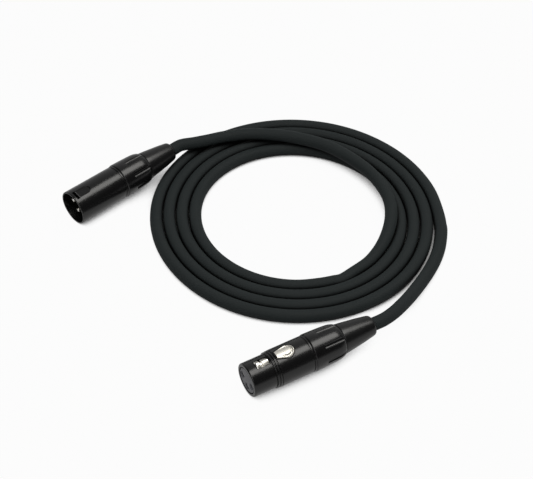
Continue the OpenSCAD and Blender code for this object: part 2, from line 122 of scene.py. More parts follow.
def eased(points, step):
    """A smooth line through the points, with one point about every step."""
    ends = [2 * points[0] - points[1], *points, 2 * points[-1] - points[-2]]
    line = []
    for a, b, c, d in zip(ends, ends[1:], ends[2:], ends[3:]):
        t1 = math.sqrt((b - a).length)
        t2 = t1 + math.sqrt((c - b).length)
        t3 = t2 + math.sqrt((d - c).length)
        count = max(2, round((c - b).length / step))
        for k in range(count):
            t = t1 + (t2 - t1) * k / count
            ab = a.lerp(b, t / t1)
            bc = b.lerp(c, (t - t1) / (t2 - t1))
            cd = c.lerp(d, (t - t2) / (t3 - t2))
            line.append(ab.lerp(bc, t / t2).lerp(bc.lerp(cd, (t - t1) / (t3 - t1)),
                                                 (t - t1) / (t2 - t1)))
    return line + [points[-1]]


def mesh_piece(name, corners, faces, uvs=None):
    """A piece from its corners and faces, and the UV place of each face's corners."""
    mesh = bpy.data.meshes.new(name)
    mesh.from_pydata(corners, [], faces)
    if uvs:
        layer = mesh.uv_layers.new(name="surface")
        layer.data.foreach_set("uv", [x for face in uvs for uv in face for x in uv])
    piece = bpy.data.objects.new(name, mesh)
    bpy.context.collection.objects.link(piece)
    return piece


def swept_tube(name, line, r, sides):
    """A closed round tube along a line. Its UV holds metres round and along it."""
    corners, faces, uvs, run = [], [], [], 0.0
    for i, p in enumerate(line):
        way = (line[min(i + 1, len(line) - 1)] - line[max(i - 1, 0)]).normalized()
        side = way.cross(Vector((0, 0, 1))).normalized()
        up = side.cross(way)
        step = (p - line[i - 1]).length if i else 0
        for j in range(sides):
            turn = 2 * math.pi * j / sides - math.pi / 2
            corners.append(p + r * math.cos(turn) * side + r * math.sin(turn) * up)
            if i:
                k = (j + 1) % sides
                faces.append(((i - 1) * sides + j, (i - 1) * sides + k,
                              i * sides + k, i * sides + j))
                u0, u1 = (2 * math.pi * r * (j + n) / sides for n in (0, 1))
                uvs.append(((u0, run), (u1, run), (u1, run + step), (u0, run + step)))
        run += step
    last = len(corners) - sides
    faces += [tuple(reversed(range(sides))), tuple(range(last, last + sides))]
    uvs += [[(0, 0)] * sides, [(0, run)] * sides]
    return mesh_piece(name, corners, faces, uvs)


def shade_softly(piece, crease=35):
    """Outward faces, shaded smooth except over edges sharper than the crease."""
    shape = bmesh.new()
    shape.from_mesh(piece.data)
    bmesh.ops.recalc_face_normals(shape, faces=shape.faces)
    for face in shape.faces:
        face.smooth = True
    for edge in shape.edges:
        edge.smooth = len(edge.link_faces) == 2 and \
            edge.calc_face_angle(0) < math.radians(crease)
    shape.to_mesh(piece.data)
    shape.free()
    return piece


class Wire:
    """The value on one socket of a node tree, which arithmetic adds nodes to."""

    def __init__(self, net, socket):
        self.net = net
        self.socket = socket

    def math(self, operation, a, b=0.0):
        return self.net.add("ShaderNodeMath", {"operation": operation}, {0: a, 1: b})

    def __add__(self, other):
        return self.math("ADD", self, other)

    __radd__ = __add__

    def __sub__(self, other):
        return self.math("SUBTRACT", self, other)

    def __rsub__(self, other):
        return self.math("SUBTRACT", other, self)

    def __mul__(self, other):
        return self.math("MULTIPLY", self, other)

    __rmul__ = __mul__

    def __abs__(self):
        return self.math("ABSOLUTE", self)


class Net:
    """A node tree that is being wired."""

    def __init__(self, tree):
        self.tree = tree

    def add(self, kind, settings=None, sockets=None, out=0):
        """Adds a node: first its settings, then the values or wires of its sockets."""
        node = self.tree.nodes.new(kind)
        for key, value in (settings or {}).items():
            if key == "stops":
                ramp = node.color_ramp
                while len(ramp.elements) < len(value):
                    ramp.elements.new(1)
                for element, (place, colour) in zip(ramp.elements, value):
                    element.position = place
                    element.color = (*colour, 1)
            else:
                setattr(node, key, value)
        for key, value in (sockets or {}).items():
            self.put(node, key, value)
        return Wire(self, node.outputs[out])

    def put(self, node, key, value):
        if isinstance(value, Wire):
            self.tree.links.new(value.socket, node.inputs[key])
        else:
            node.inputs[key].default_value = value

    def tint(self, share, first, second):
        """One colour giving way to another."""
        first, second = (c if isinstance(c, Wire) else (*c, 1) for c in (first, second))
        return self.add("ShaderNodeMix", {"data_type": "RGBA"},
                        {0: share, 6: first, 7: second}, out=2)

    def split(self, vector):
        node = self.tree.nodes.new("ShaderNodeSeparateXYZ")
        self.tree.links.new(vector.socket, node.inputs[0])
        return [Wire(self, output) for output in node.outputs]

    def soft_step(self, value, low, high):
        return self.add("ShaderNodeMapRange", {"interpolation_type": "SMOOTHSTEP"},
                        {"Value": value, "From Min": low, "From Max": high})

    def noise(self, where, scale, detail=2.0, roughness=0.5):
        return self.add("ShaderNodeTexNoise", None,
                        {"Vector": where, "Scale": scale, "Detail": detail,
                         "Roughness": roughness})


class Finish(Net):
    """A material with one main shader, whose constant sockets are set by name."""

    def __init__(self, name, **constants):
        self.material = bpy.data.materials.new(name)
        self.material.use_nodes = True
        super().__init__(self.material.node_tree)
        self.shader = next(n for n in self.tree.nodes if n.type == "BSDF_PRINCIPLED")
        for key, value in constants.items():
            self.shader.inputs[key.replace("_", " ")].default_value = value

    def wear(self, **wires):
        for key, value in wires.items():
            self.put(self.shader, key.replace("_", " "), value)

    def relief(self, height, depth, strength=1.0):
        """Fine relief of a depth in metres."""
        self.put(self.shader, "Normal",
                 self.add("ShaderNodeBump", None,
                          {"Strength": strength, "Distance": depth, "Height": height}))

    def own_place(self, place=None):
        """Object coordinates, or those of a plug that lies at a place."""
        there = self.add("ShaderNodeTexCoord", out="Object")
        if place is None:
            return there
        return self.add("ShaderNodeMapping", {"vector_type": "TEXTURE"},
                        {"Vector": there, "Location": place.to_translation(),
                         "Rotation": place.to_euler()})


dark_jacket, pale_jacket = (0.0180, 0.0228, 0.0236), (0.0258, 0.0308, 0.0316)


def jacket_finish():
    """Matt black PVC: die lines, cloudy bloom and fine grain, with painted shade that turns it
    near black between the turns.
    """
    jacket = Finish("jacket_pvc", Specular_IOR_Level=0.12, Diffuse_Roughness=0.6)
    around, along, _ = jacket.split(jacket.add("ShaderNodeUVMap", {"uv_map": "surface"}))
    die = jacket.noise(jacket.add("ShaderNodeCombineXYZ", None,
                                  {"X": around * 2600, "Y": along * 26}), 1, 3)
    here = jacket.own_place()
    bloom = jacket.noise(here, 70, 4, 0.6)
    grain = jacket.noise(here, 3800, 2)
    scuff = jacket.soft_step(jacket.noise(here, 420, 3), 0.66, 0.78)
    base = jacket.tint(bloom * 0.7 + die * 0.3, dark_jacket, pale_jacket)
    base = jacket.tint(scuff * 0.25, base, (0.050, 0.053, 0.053))
    # Painted shade: where the air is shut out, between and under the turns, the jacket's
    # colour gives way to near black.
    openness = jacket.add("ShaderNodeAmbientOcclusion", {"samples": 8},
                          {"Distance": 0.007}, out="AO")
    jacket.wear(Base_Color=jacket.tint(jacket.soft_step(openness, 0.3, 0.85),
                                       (0.001, 0.001, 0.001), base),
                Roughness=0.60 + 0.12 * bloom + 0.08 * scuff)
    jacket.relief(die * 0.45 + grain * 0.55, 0.00003, 0.55)
    return jacket.material


jacket = jacket_finish()
line = eased(route, 0.0022)
cable = shade_softly(swept_tube("cable", line, cable_d / 2, 28))
cable.data.materials.append(jacket)
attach(cable, "plugs and cable")
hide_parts("cable_coil", "male_lead", "female_lead")
[tuple(p) for p in line]


# --------------------------------------------------- table, light and air
# The coil lies on a plain white table under a wide soft box, with a weak one in
# front. The room is dark in front and pale behind. The table's white gives way
# where something shuts the air out.
reach = 4
table = mesh_piece("table", [(-reach, -reach, 0), (reach, -reach, 0), (reach, reach, 0),
                             (-reach, reach, 0)], [(0, 1, 2, 3)])
cloth = Finish("white_table", Base_Color=(0.38, 0.38, 0.38, 1), Roughness=0.9,
               Specular_IOR_Level=0.1)
rays = cloth.tree.nodes.new("ShaderNodeLightPath")
openness = cloth.add("ShaderNodeAmbientOcclusion", {"samples": 8}, {"Distance": 0.014},
                     out="AO")
share = Wire(cloth, rays.outputs["Is Camera Ray"]) * cloth.soft_step(openness, 0.1, 0.5)
for kind in ("Glossy", "Transmission"):
    share = share + Wire(cloth, rays.outputs["Is " + kind + " Ray"]) \
        * cloth.soft_step(openness, 0.02, 0.4) * 0.45
white = cloth.add("ShaderNodeEmission", None, {"Color": (1, 1, 1, 1), "Strength": 1.0})
both = cloth.add("ShaderNodeMixShader", None,
                 {0: share * 0.96, 1: Wire(cloth, cloth.shader.outputs[0]), 2: white})
cloth.put(next(n for n in cloth.tree.nodes if n.type == "OUTPUT_MATERIAL"),
          "Surface", both)
table.data.materials.append(cloth.material)

room = bpy.data.worlds.new("room")
room.use_nodes = True
air = Net(room.node_tree)
_, depth, _ = air.split(air.add("ShaderNodeTexCoord", out="Generated"))
sky = room.node_tree.nodes["Background"]
air.put(sky, "Color", (1, 1, 1, 1))
air.put(sky, "Strength", 0.03 + 0.42 * air.soft_step(depth, 0.0, 0.95))
bpy.context.scene.world = room


def soft_box(name, place, aim, width, depth, watts, tint=(1, 1, 1)):
    lamp = bpy.data.lights.new(name, "AREA")
    lamp.shape = "RECTANGLE"
    lamp.size, lamp.size_y, lamp.energy, lamp.color = width, depth, watts, tint
    holder = bpy.data.objects.new(name, lamp)
    holder.location = place
    holder.rotation_euler = (Vector(aim) - Vector(place)).to_track_quat("-Z", "Y").to_euler()
    bpy.context.collection.objects.link(holder)


soft_box("overhead_box", (0.35, 0.04, 1.2), (0.09, 0.29, 0), 1.45, 0.68, 13.5,
         (1, 0.985, 0.95))
soft_box("front_fill", (-0.35, -0.8, 0.7), (0.04, 0, 0), 0.9, 0.7, 2.4)
bpy.context.scene.view_settings.view_transform = "Standard"


# -------------------------------------------------------- male plug's shell
# A tube of die-cast zinc, turned to a slight taper, and painted satin black.
# Just behind its mouth it has the window that a latch springs into, and a
# shallow D-shaped flat that guides the latch.


def softened(outline):
    """A turned outline of (s, r) or (s, r, fillet), with its fillets put in."""
    points = []
    for i, corner in enumerate(outline):
        here = Vector(corner[:2])
        if len(corner) < 3:
            points.append(here)
            continue
        before = Vector(outline[i - 1][:2]) - here
        after = Vector(outline[(i + 1) % len(outline)][:2]) - here
        start = here + before.normalized() * min(corner[2], before.length * 0.48)
        end = here + after.normalized() * min(corner[2], after.length * 0.48)
        for t in (0, 0.25, 0.5, 0.75, 1):
            points.append(start.lerp(here, t).lerp(here.lerp(end, t), t))
    return points


def lathe(name, outline, sides=240):
    """A closed outline of (s, r) in millimetres, turned about the plug's axis."""
    outline = softened(outline)
    n = len(outline)
    corners = [(p[0], p[1] * math.sin(2 * math.pi * k / sides),
                p[1] * math.cos(2 * math.pi * k / sides))
               for k in range(sides) for p in outline]
    faces = [(k * n + i, k * n + (i + 1) % n,
              (k + 1) % sides * n + (i + 1) % n, (k + 1) % sides * n + i)
             for k in range(sides) for i in range(n)]
    return mesh_piece(name, corners, faces)


def prism(name, outline, low, high):
    """An outline of (x, y) drawn up from low to high."""
    n = len(outline)
    corners = [(x, y, z) for z in (low, high) for x, y in outline]
    faces = [tuple(range(n)), tuple(range(n, 2 * n))]
    faces += [(i, (i + 1) % n, n + (i + 1) % n, n + i) for i in range(n)]
    return shade_softly(mesh_piece(name, corners, faces))


def settled(piece):
    """The piece's mesh with its modifiers worked in."""
    bpy.context.view_layer.update()
    shape = piece.evaluated_get(bpy.context.evaluated_depsgraph_get())
    piece.data = bpy.data.meshes.new_from_object(shape)
    piece.modifiers.clear()
    return piece


def cut_away(piece, *cutters):
    for cutter in cutters:
        knife = piece.modifiers.new("cut", "BOOLEAN")
        knife.operation, knife.solver, knife.object = "DIFFERENCE", "EXACT", cutter
        settled(piece)
        bpy.data.objects.remove(cutter)
    return piece


def laid_down(piece, place, crease=35):
    """Takes a piece from plug millimetres to where its plug lies, in metres."""
    piece.data.transform(place @ Matrix.Scale(0.001, 4))
    return shade_softly(piece, crease)


def tongue(front, length, half, front_half, steps=40):
    """A flat front, sides that flare out from it, and a round back."""
    middle = length - half
    flare = (math.asin(half / math.hypot(middle, front_half))
             - math.atan2(front_half, middle))
    turn = math.pi / 2 + flare
    return [(front, front_half), (front, -front_half)] + [
        (front + middle + half * math.cos(turn * k / steps), half * math.sin(turn * k / steps))
        for k in range(-steps, steps + 1)]


def stacked(name, outline, spine, levels):
    """Rings of an outline, each drawn in by a share towards its spine, at a height."""
    sides, corners = [], []
    for a, b in zip(outline, outline[1:] + outline[:1]):
        count = max(1, round(math.dist(a, b) / 0.4))
        sides += [(a[0] + (b[0] - a[0]) * k / count, a[1] + (b[1] - a[1]) * k / count)
                  for k in range(count)]
    for share, height in levels:
        for s, y in sides:
            x = s + (min(max(s, spine[0]), spine[1]) - s) * share
            w = y * (1 - share)
            corners.append((x, w, height(x, w)))
    n = len(sides)
    faces = [(k * n + i, k * n + (i + 1) % n, (k + 1) * n + (i + 1) % n, (k + 1) * n + i)
             for k in range(len(levels) - 1) for i in range(n)]
    faces += [tuple(range(n)), tuple(range((len(levels) - 1) * n, len(levels) * n))]
    return mesh_piece(name, corners, faces)


def painted_black(name, place, worn_rims):
    """Satin black paint on zinc, rubbed through in specks along its rims."""
    paint = Finish(name, Specular_IOR_Level=0.5)
    here = paint.own_place(place)
    along, _, _ = paint.split(here)
    peel = paint.noise(here, 900, 2)
    grain = paint.noise(here, 5200, 2)
    cloud = paint.noise(here, 160, 3)
    rim = 0.0
    for s in worn_rims:
        rim = rim + (1 - paint.soft_step(abs(along - s / 1000), 0.00012, 0.0004))
    rubbed = rim * paint.soft_step(paint.noise(here, 1500, 3), 0.58, 0.70)
    dust = paint.soft_step(paint.noise(here, 2600, 1), 0.74, 0.80)
    base = paint.tint(cloud, (0.0040, 0.0040, 0.0042), (0.0064, 0.0064, 0.0067))
    base = paint.tint(dust * 0.12, base, (0.06, 0.06, 0.06))
    paint.wear(Base_Color=paint.tint(rubbed * 0.15, base, (0.22, 0.21, 0.20)),
               Roughness=0.22 + 0.06 * cloud + 0.12 * dust,
               Metallic=rubbed * 0.15)
    paint.relief(peel * 0.6 + grain * 0.4, 0.000012, 0.5)
    return paint.material


male_paint = painted_black("male_shell_paint", male_place, (0, 1.3, 28.3))
male_od, male_rear_od, male_length, male_bore = 17.6, 17.16, 28.3, 16.1
thread_r, seat_r, spigot_length = 7.85, 7.0, 6


def thread(shoulder, count=5):
    """Ring grooves of the spigot's thread, 1 mm apart, as outline points."""
    grooves = []
    for i in range(count):
        s = shoulder + 0.3 + i
        grooves += [(s, thread_r), (s + 0.35, thread_r - 0.3), (s + 0.7, thread_r)]
    return grooves


def shell_back(length, r):
    """A shell's groove and shoulder, and the threaded spigot behind, as points."""
    return [(length - 1.5, r, 0.12), (length - 1.4, r - 0.42, 0.08),
            (length - 0.9, r - 0.42, 0.08), (length - 0.8, r, 0.12),
            (length, r, 0.2), (length, thread_r)] + thread(length) + [
                (length + spigot_length - 0.2, thread_r),
                (length + spigot_length, thread_r - 0.2), (length + spigot_length, seat_r)]


r = male_od / 2
male_shell = lathe("male_plug_shell", [
    (0, male_bore / 2 + 0.12, 0.1), (0, r - 0.22, 0.12), (0.24, r, 0.15),
    (5, r - 0.035), (10, r - 0.075), (16, r - 0.12), (22, r - 0.17),
] + shell_back(male_length, male_rear_od / 2) + [
    (16.8, seat_r), (16.8, seat_r - 0.5), (15.8, seat_r - 0.5), (15.8, male_bore / 2),
    (8, male_bore / 2), (0.14, male_bore / 2, 0.1)])
window = prism("window", [(1.3, 2.6), (1.3, -2.6), (3.1, -2.6), (3.1, 2.6)], 6.5, 12)
flat = shade_softly(stacked("flat", tongue(3.05, 7.35, 2.5, 2.5), (5.6, 7.9), [
    (0, lambda s, y: 12), (0, lambda s, y: r), (0.12, lambda s, y: r - 0.55)]))
cut_away(male_shell, window, flat)
laid_down(male_shell, male_place)
male_shell.data.materials.append(male_paint)
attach(male_shell, "plugs and cable")
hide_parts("male_shell")


# ------------------------------------------- male plug's insert and pins
# A black moulded insert is pressed in from behind and holds three turned
# brass pins, plated with silver, by the shank. Each pin ends in a solder cup.


def grown(name, tree, material, **sizes):
    """The mesh that a geometry tree grows from its sizes."""
    piece = mesh_piece(name, [], [])
    growth = piece.modifiers.new("growth", "NODES")
    growth.node_group = tree
    for item in tree.interface.items_tree:
        if item.item_type == "SOCKET" and item.in_out == "INPUT" and item.name in sizes:
            growth[item.identifier] = sizes[item.name]
        elif item.item_type == "SOCKET" and item.name == "Material":
            growth[item.identifier] = material
    return settled(piece)


def new_tree(name, inputs):
    """A geometry tree with named inputs, and the wires that carry them."""
    tree = bpy.data.node_groups.new(name, "GeometryNodeTree")
    for label, kind, value in inputs:
        socket = tree.interface.new_socket(label, in_out="INPUT", socket_type=kind)
        if value is not None:
            socket.default_value = value
    tree.interface.new_socket("Geometry", in_out="OUTPUT", socket_type="NodeSocketGeometry")
    net = Net(tree)
    start = tree.nodes.new("NodeGroupInput")
    return net, {label: Wire(net, start.outputs[label]) for label, _, _ in inputs}


def close_tree(net, shape, material):
    """Ends a geometry tree: real geometry, in its material."""
    real = net.add("GeometryNodeRealizeInstances", None, {0: shape})
    done = net.add("GeometryNodeSetMaterial", None,
                   {"Geometry": real, "Material": material})
    net.tree.links.new(done.socket, net.tree.nodes.new("NodeGroupOutput").inputs[0])
    return net.tree


def ring_tree():
    """Copies of a shape about the plug's axis, by number, first angle and step."""
    net, of = new_tree("ring_of_copies", [
        ("Shape", "NodeSocketObject", None), ("Number", "NodeSocketInt", 3),
        ("First", "NodeSocketFloat", 0.0), ("Step", "NodeSocketFloat", 90.0),
        ("Material", "NodeSocketMaterial", None)])
    shape = net.add("GeometryNodeObjectInfo", None, {"Object": of["Shape"]}, out="Geometry")
    places = net.add("GeometryNodeMeshLine", None,
                     {"Count": of["Number"], "Offset": (0, 0, 0)})
    order = net.add("GeometryNodeInputIndex")
    turn = (of["First"] + of["Step"] * order) * (math.pi / 180)
    copies = net.add("GeometryNodeInstanceOnPoints", None,
                     {"Points": places, "Instance": shape,
                      "Rotation": net.add("ShaderNodeCombineXYZ", None, {"X": turn})})
    return close_tree(net, copies, of["Material"])


ring_of_copies = ring_tree()


def round_the_axis(name, shape, material=None, number=3, first=90.0, step=90.0):
    """The shape repeated about the plug's axis, as one piece. The shape is used up."""
    piece = grown(name, ring_of_copies, material, Shape=shape, Number=number,
                  First=first, Step=step)
    bpy.data.objects.remove(shape)
    return piece


def moulded(name, place, dark, light, gloss):
    """Moulded plastic: an even colour with flow marks and a fine eroded grain."""
    plastic = Finish(name, Specular_IOR_Level=0.5)
    here = plastic.own_place(place)
    flow = plastic.noise(here, 130, 4, 0.6)
    grain = plastic.noise(here, 3200, 3)
    plastic.wear(Base_Color=plastic.tint(flow, dark, light),
                 Roughness=gloss + 0.10 * grain + 0.06 * flow)
    plastic.relief(grain, 0.00001, 0.6)
    return plastic.material


def plated_silver(name, place):
    """Bright plating with turning lines and a little yellow tarnish."""
    plating = Finish(name)
    here = plating.own_place(place)
    along, _, _ = plating.split(here)
    lines = plating.noise(plating.add("ShaderNodeCombineXYZ", None, {"X": along}), 9000, 2)
    tarnish = plating.soft_step(plating.noise(here, 600, 4), 0.42, 0.72)
    plating.shader.inputs["Metallic"].default_value = 1
    plating.wear(Base_Color=plating.tint(tarnish, (0.83, 0.82, 0.79), (0.62, 0.56, 0.43)),
                 Roughness=0.16 + 0.14 * tarnish + 0.08 * lines)
    plating.relief(lines, 0.000006, 0.5)
    return plating.material


def contact_cup(s):
    """Flange and solder cup that every contact ends in, as outline points."""
    return [(s, 1.65), (s + 0.8, 1.65, 0.08), (s + 0.8, 1.35, 0.06),
            (s + 4.8, 1.35, 0.1), (s + 4.8, 0.85, 0.08), (s + 2, 0.85), (s + 2, 0.02)]


contact_ring, insert_r, insert_back = 4.0, 6.95, 25.5
black_plastic = moulded("male_insert_plastic", male_place,
                        (0.008, 0.008, 0.0085), (0.014, 0.014, 0.015), 0.42)
silver = plated_silver("male_pin_silver", male_place)
insert = lathe("male_plug_insert", [
    (15.9, 0.02), (15.9, 6.1, 0.15), (16.25, 6.1, 0.1), (16.25, 6.45, 0.08),
    (16.8, 6.45), (16.8, insert_r), (insert_back, insert_r, 0.2), (insert_back, 0.02)], 144)
hole = lathe("hole", [(14, 0.02), (14, 1.41), (20, 1.41), (20, 1.85), (27, 1.85),
                      (27, 0.02)], 48)
hole.data.transform(Matrix.Translation((0, 0, contact_ring)))
cut_away(insert, round_the_axis("holes", shade_softly(hole)))
laid_down(insert, male_place)
insert.data.materials.append(black_plastic)
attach(insert, "plugs and cable")
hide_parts("male_insert")

pin = lathe("pin", [
    (2.8, 0.02), (2.8, 0.55, 0.2), (2.95, 0.95, 0.2), (3.6, 1.19, 0.3), (15.9, 1.19),
    (15.9, 1.39), (20, 1.39)] + contact_cup(20), 64)
pin.data.transform(Matrix.Translation((0, 0, contact_ring)))
pins = laid_down(round_the_axis("male_plug_pins", pin, silver), male_place, 50)
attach(pins, "plugs and cable")
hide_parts("male_pin_1", "male_pin_2", "male_pin_3")


# ------------------------------------------------------ female plug's shell
# The other zinc shell: a nose that enters a socket, two turned ribs behind it,
# and openings along the top for the latch's hook and its push tab.
female_paint = painted_black("female_shell_paint", female_place, (0, 11, 14, 31.2))
nose_r, body_r, nose_length, female_length = 8.0, 8.67, 11, 31.2
female_shell = lathe("female_plug_shell", [
    (0, 6.5, 0.08), (0, nose_r - 0.42, 0.2), (0.42, nose_r, 0.25),
    (4, nose_r), (8, nose_r),
    (nose_length, nose_r, 0.06), (nose_length + 0.05, nose_r - 0.25, 0.06),
    (nose_length + 0.35, nose_r - 0.25, 0.06), (nose_length + 0.42, body_r - 0.3, 0.1),
    (nose_length + 0.72, body_r - 0.12, 0.15), (nose_length + 1.2, body_r - 0.25, 0.1),
    (nose_length + 1.32, body_r - 0.56, 0.08), (nose_length + 1.65, body_r - 0.56, 0.08),
    (nose_length + 1.75, body_r - 0.12, 0.12), (nose_length + 2.1, body_r, 0.2),
    (nose_length + 2.5, body_r - 0.1, 0.12), (nose_length + 2.6, body_r - 0.42, 0.08),
    (nose_length + 2.85, body_r - 0.42, 0.06), (nose_length + 3, body_r, 0.12),
    (18, body_r), (24, body_r),
] + shell_back(female_length, body_r) + [
    (1, seat_r), (1, 6.5)])
hook_slot = prism("hook_slot", [(4.1, 2.4), (4.1, -2.4), (11.02, -2.4), (11.02, 2.4)],
                  5.6, 12)
tab_opening = prism("tab_opening", tongue(14.1, 9.9, 3.9, 2.3), 5.6, 12)
cut_away(female_shell, hook_slot, tab_opening)
laid_down(female_shell, female_place)
female_shell.data.materials.append(female_paint)
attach(female_shell, "plugs and cable")
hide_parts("female_shell")


# --------------------------------------- female plug's insert and sockets
# A grey moulded insert fills the nose, with three holes that lead the pins
# into turned socket contacts behind its face.
grey_plastic = moulded("female_insert_plastic", female_place,
                       (0.105, 0.107, 0.120), (0.155, 0.157, 0.172), 0.34)
insert = lathe("female_plug_insert", [
    (0.12, 0.02), (0.12, 5.95, 0.15), (0.75, 6.1, 0.1), (0.75, 6.45), (1, 6.45),
    (1, insert_r), (insert_back, insert_r, 0.2), (insert_back, 0.02)], 144)
hole = lathe("hole", [(-1, 0.02), (-1, 1.9), (0.1, 1.9), (0.42, 1.45), (1, 1.45),
                      (1, 1.62), (20, 1.62), (20, 1.85), (27, 1.85), (27, 0.02)], 48)
hole.data.transform(Matrix.Translation((0, 0, contact_ring)))
groove = prism("groove", [(3, 2.4), (3, -2.4), (11.3, -2.4), (11.3, -1.55), (28, -1.55),
                          (28, 1.55), (11.3, 1.55), (11.3, 2.4)], 3.9, 9)
spring_s, spring_foot, pivot_s, pivot_z = 18.5, 3.07, 24.2, 5.9
spring_well = lathe("spring_well", [(-9, 0.02), (-9, 1.2), (-2.9, 1.2), (-2.9, 0.02)], 32)
spring_well.data.transform(Matrix.Translation((spring_s, 0, 0))
                           @ Matrix.Rotation(math.radians(90), 4, "Y"))
pivot_hole = lathe("pivot_hole", [(-9, 0.02), (-9, 0.52), (9, 0.52), (9, 0.02)], 32)
pivot_hole.data.transform(Matrix.Translation((pivot_s, 0, pivot_z))
                          @ Matrix.Rotation(math.radians(90), 4, "Z"))
cut_away(insert, round_the_axis("holes", shade_softly(hole)), groove,
         shade_softly(spring_well), shade_softly(pivot_hole))
laid_down(insert, female_place)
insert.data.materials.append(grey_plastic)
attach(insert, "plugs and cable")
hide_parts("female_insert")

socket_silver = plated_silver("female_socket_silver", female_place)
socket = lathe("socket", [
    (1, 1.24, 0.1), (1, 1.6, 0.1), (20, 1.6)] + contact_cup(20) + [
    (14, 0.02), (14, 1.24)], 64)
socket.data.transform(Matrix.Translation((0, 0, contact_ring)))
sockets = laid_down(round_the_axis("female_plug_sockets", socket, socket_silver),
                    female_place, 50)
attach(sockets, "plugs and cable")
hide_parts("female_socket_1", "female_socket_2", "female_socket_3")


# -------------------------------------------------------- latch and spring
# One nickel-plated casting: a hook that catches a socket's window, an arm, and
# a rounded tab for the thumb with a raised rim. It rocks on a steel pin, and a
# coil spring under the tab lifts it.


def nickel(name, place):
    """Nickel plating over a casting, bright in front and satin under the thumb."""
    plating = Finish(name)
    here = plating.own_place(place)
    along, _, _ = plating.split(here)
    waves = plating.noise(here, 420, 2)
    marks = plating.soft_step(plating.noise(
        plating.add("ShaderNodeMapping", None, {"Vector": here, "Scale": (1, 9, 1)}),
        700, 3), 0.52, 0.75)
    satin = plating.soft_step(along, 0.012, 0.013)
    plating.shader.inputs["Metallic"].default_value = 1
    plating.wear(Base_Color=plating.tint(marks, (0.86, 0.84, 0.78), (0.72, 0.69, 0.60)),
                 Roughness=0.22 + 0.20 * satin + 0.10 * marks + 0.05 * waves)
    plating.relief(waves, 0.00002, 0.6)
    return plating.material


def side_drawn(name, outline, half, bevel, slope=0.0, ridge=0.3):
    """A side outline of (s, z) drawn to both sides, its top falling off from a ridge."""
    n, stations = len(outline), 8
    corners = []
    for k in range(stations + 1):
        y = half * (2 * k / stations - 1)
        drop = slope * (math.hypot(ridge, y) - ridge)
        corners += [(s, y, z - drop if z > 7.2 else z) for s, z in outline]
    faces = [tuple(range(n)), tuple(range(stations * n, (stations + 1) * n))]
    faces += [(k * n + i, k * n + (i + 1) % n, (k + 1) * n + (i + 1) % n, (k + 1) * n + i)
              for k in range(stations) for i in range(n)]
    piece = shade_softly(mesh_piece(name, corners, faces))
    edge = piece.modifiers.new("edge", "BEVEL")
    edge.width, edge.segments, edge.angle_limit = bevel, 3, math.radians(28)
    return settled(piece)


def push_tab(name, front, length, half, front_half):
    """The thumb tab: it falls off to both sides, with a moat and a raised back rim."""
    peak, crown_r = 9.2, 5.5

    def height(below):
        """The crown, less a moat inside the rim that deepens towards the back."""
        def at(s, y):
            back = min(max((s - front - 1.2) / 3, 0), 1)
            return peak - crown_r + math.sqrt(crown_r ** 2 - y * y) - below * back
        return at

    levels = [(0, lambda s, y: 7.55), (0, lambda s, y: height(0)(s, y) - 0.24),
              (0.02, lambda s, y: height(0)(s, y) - 0.07)]
    levels += [(share, height(below)) for share, below in (
        (0.05, 0), (0.10, 0), (0.14, 0.12), (0.19, 0.30), (0.26, 0.40), (0.34, 0.30),
        (0.42, 0.12), (0.50, 0), (0.62, 0), (0.76, 0), (0.90, 0))]
    return stacked(name, tongue(front, length, half, front_half),
                   (front + half * 0.6, front + length - half), levels)


def joined(name, *pieces):
    """Several solids of one casting as one piece."""
    shape = bmesh.new()
    for piece in pieces:
        shape.from_mesh(piece.data)
        bpy.data.objects.remove(piece)
    whole = mesh_piece(name, [], [])
    shape.to_mesh(whole.data)
    shape.free()
    return whole


bright_nickel = nickel("latch_nickel", female_place)
tab = push_tab("tab", 14.6, 8.9, 3.4, 1.8)
hook = side_drawn("hook", [
    (4.3, 5.6), (4.2, 7.35), (4.35, 8.5), (4.8, 8.95), (6.15, 8.95), (6.4, 8.05),
    (7.2, 8.05), (7.5, 8.7), (10.6, 8.55), (10.6, 5.6)], 2.2, 0.1, 0.62, 0.25)
arm = side_drawn("arm", [
    (9.8, 5.62), (9.8, 6.6), (14.8, 6.6), (14.8, 7.8), (22.0, 7.8), (22.0, 6.6),
    (24.2, 6.6), (24.85, 6.2), (24.9, 5.5), (24.2, 5.0), (23.5, 5.62)], 1.35, 0.1)
latch = laid_down(joined("latch", tab, hook, arm), female_place, 40)
latch.data.materials.append(bright_nickel)
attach(latch, "latch")
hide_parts("female_latch")


def spring_tree():
    """A coil spring from its turns, height, and wire and coil radius."""
    net, of = new_tree("coil_spring", [
        ("Turns", "NodeSocketFloat", 4.0), ("Height", "NodeSocketFloat", 2.2),
        ("Coil radius", "NodeSocketFloat", 0.85), ("Wire radius", "NodeSocketFloat", 0.12),
        ("Material", "NodeSocketMaterial", None)])
    coil = net.add("GeometryNodeCurveSpiral", None,
                   {"Resolution": 32, "Rotations": of["Turns"], "Height": of["Height"],
                    "Start Radius": of["Coil radius"], "End Radius": of["Coil radius"]})
    wire = net.add("GeometryNodeCurvePrimitiveCircle", None,
                   {"Resolution": 12, "Radius": of["Wire radius"]})
    spun = net.add("GeometryNodeCurveToMesh", None,
                   {"Curve": coil, "Profile Curve": wire, "Fill Caps": True})
    return close_tree(net, spun, of["Material"])


steel = nickel("spring_wire_steel", female_place)
spring = grown("latch_coil_spring", spring_tree(), steel,
               **{"Turns": 4.0, "Height": 2.36, "Coil radius": 0.85, "Wire radius": 0.12})
spring.data.transform(Matrix.Translation((spring_s, 0, spring_foot)))
laid_down(spring, female_place, 60)
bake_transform(spring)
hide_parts("latch_spring")


# ---------------------------------------------------------- screw bushings
# Each plug is closed by a moulded bushing that screws onto the shell's thread
# and clamps the cable. Seven flutes round its crowned back give the fingers
# their grip.
bushing_r, bushing_length = 8.93, 16.6
flute_number, flute_r, flute_depth, flute_front, flute_lean = 7, 1.5, 0.75, 5.7, 4


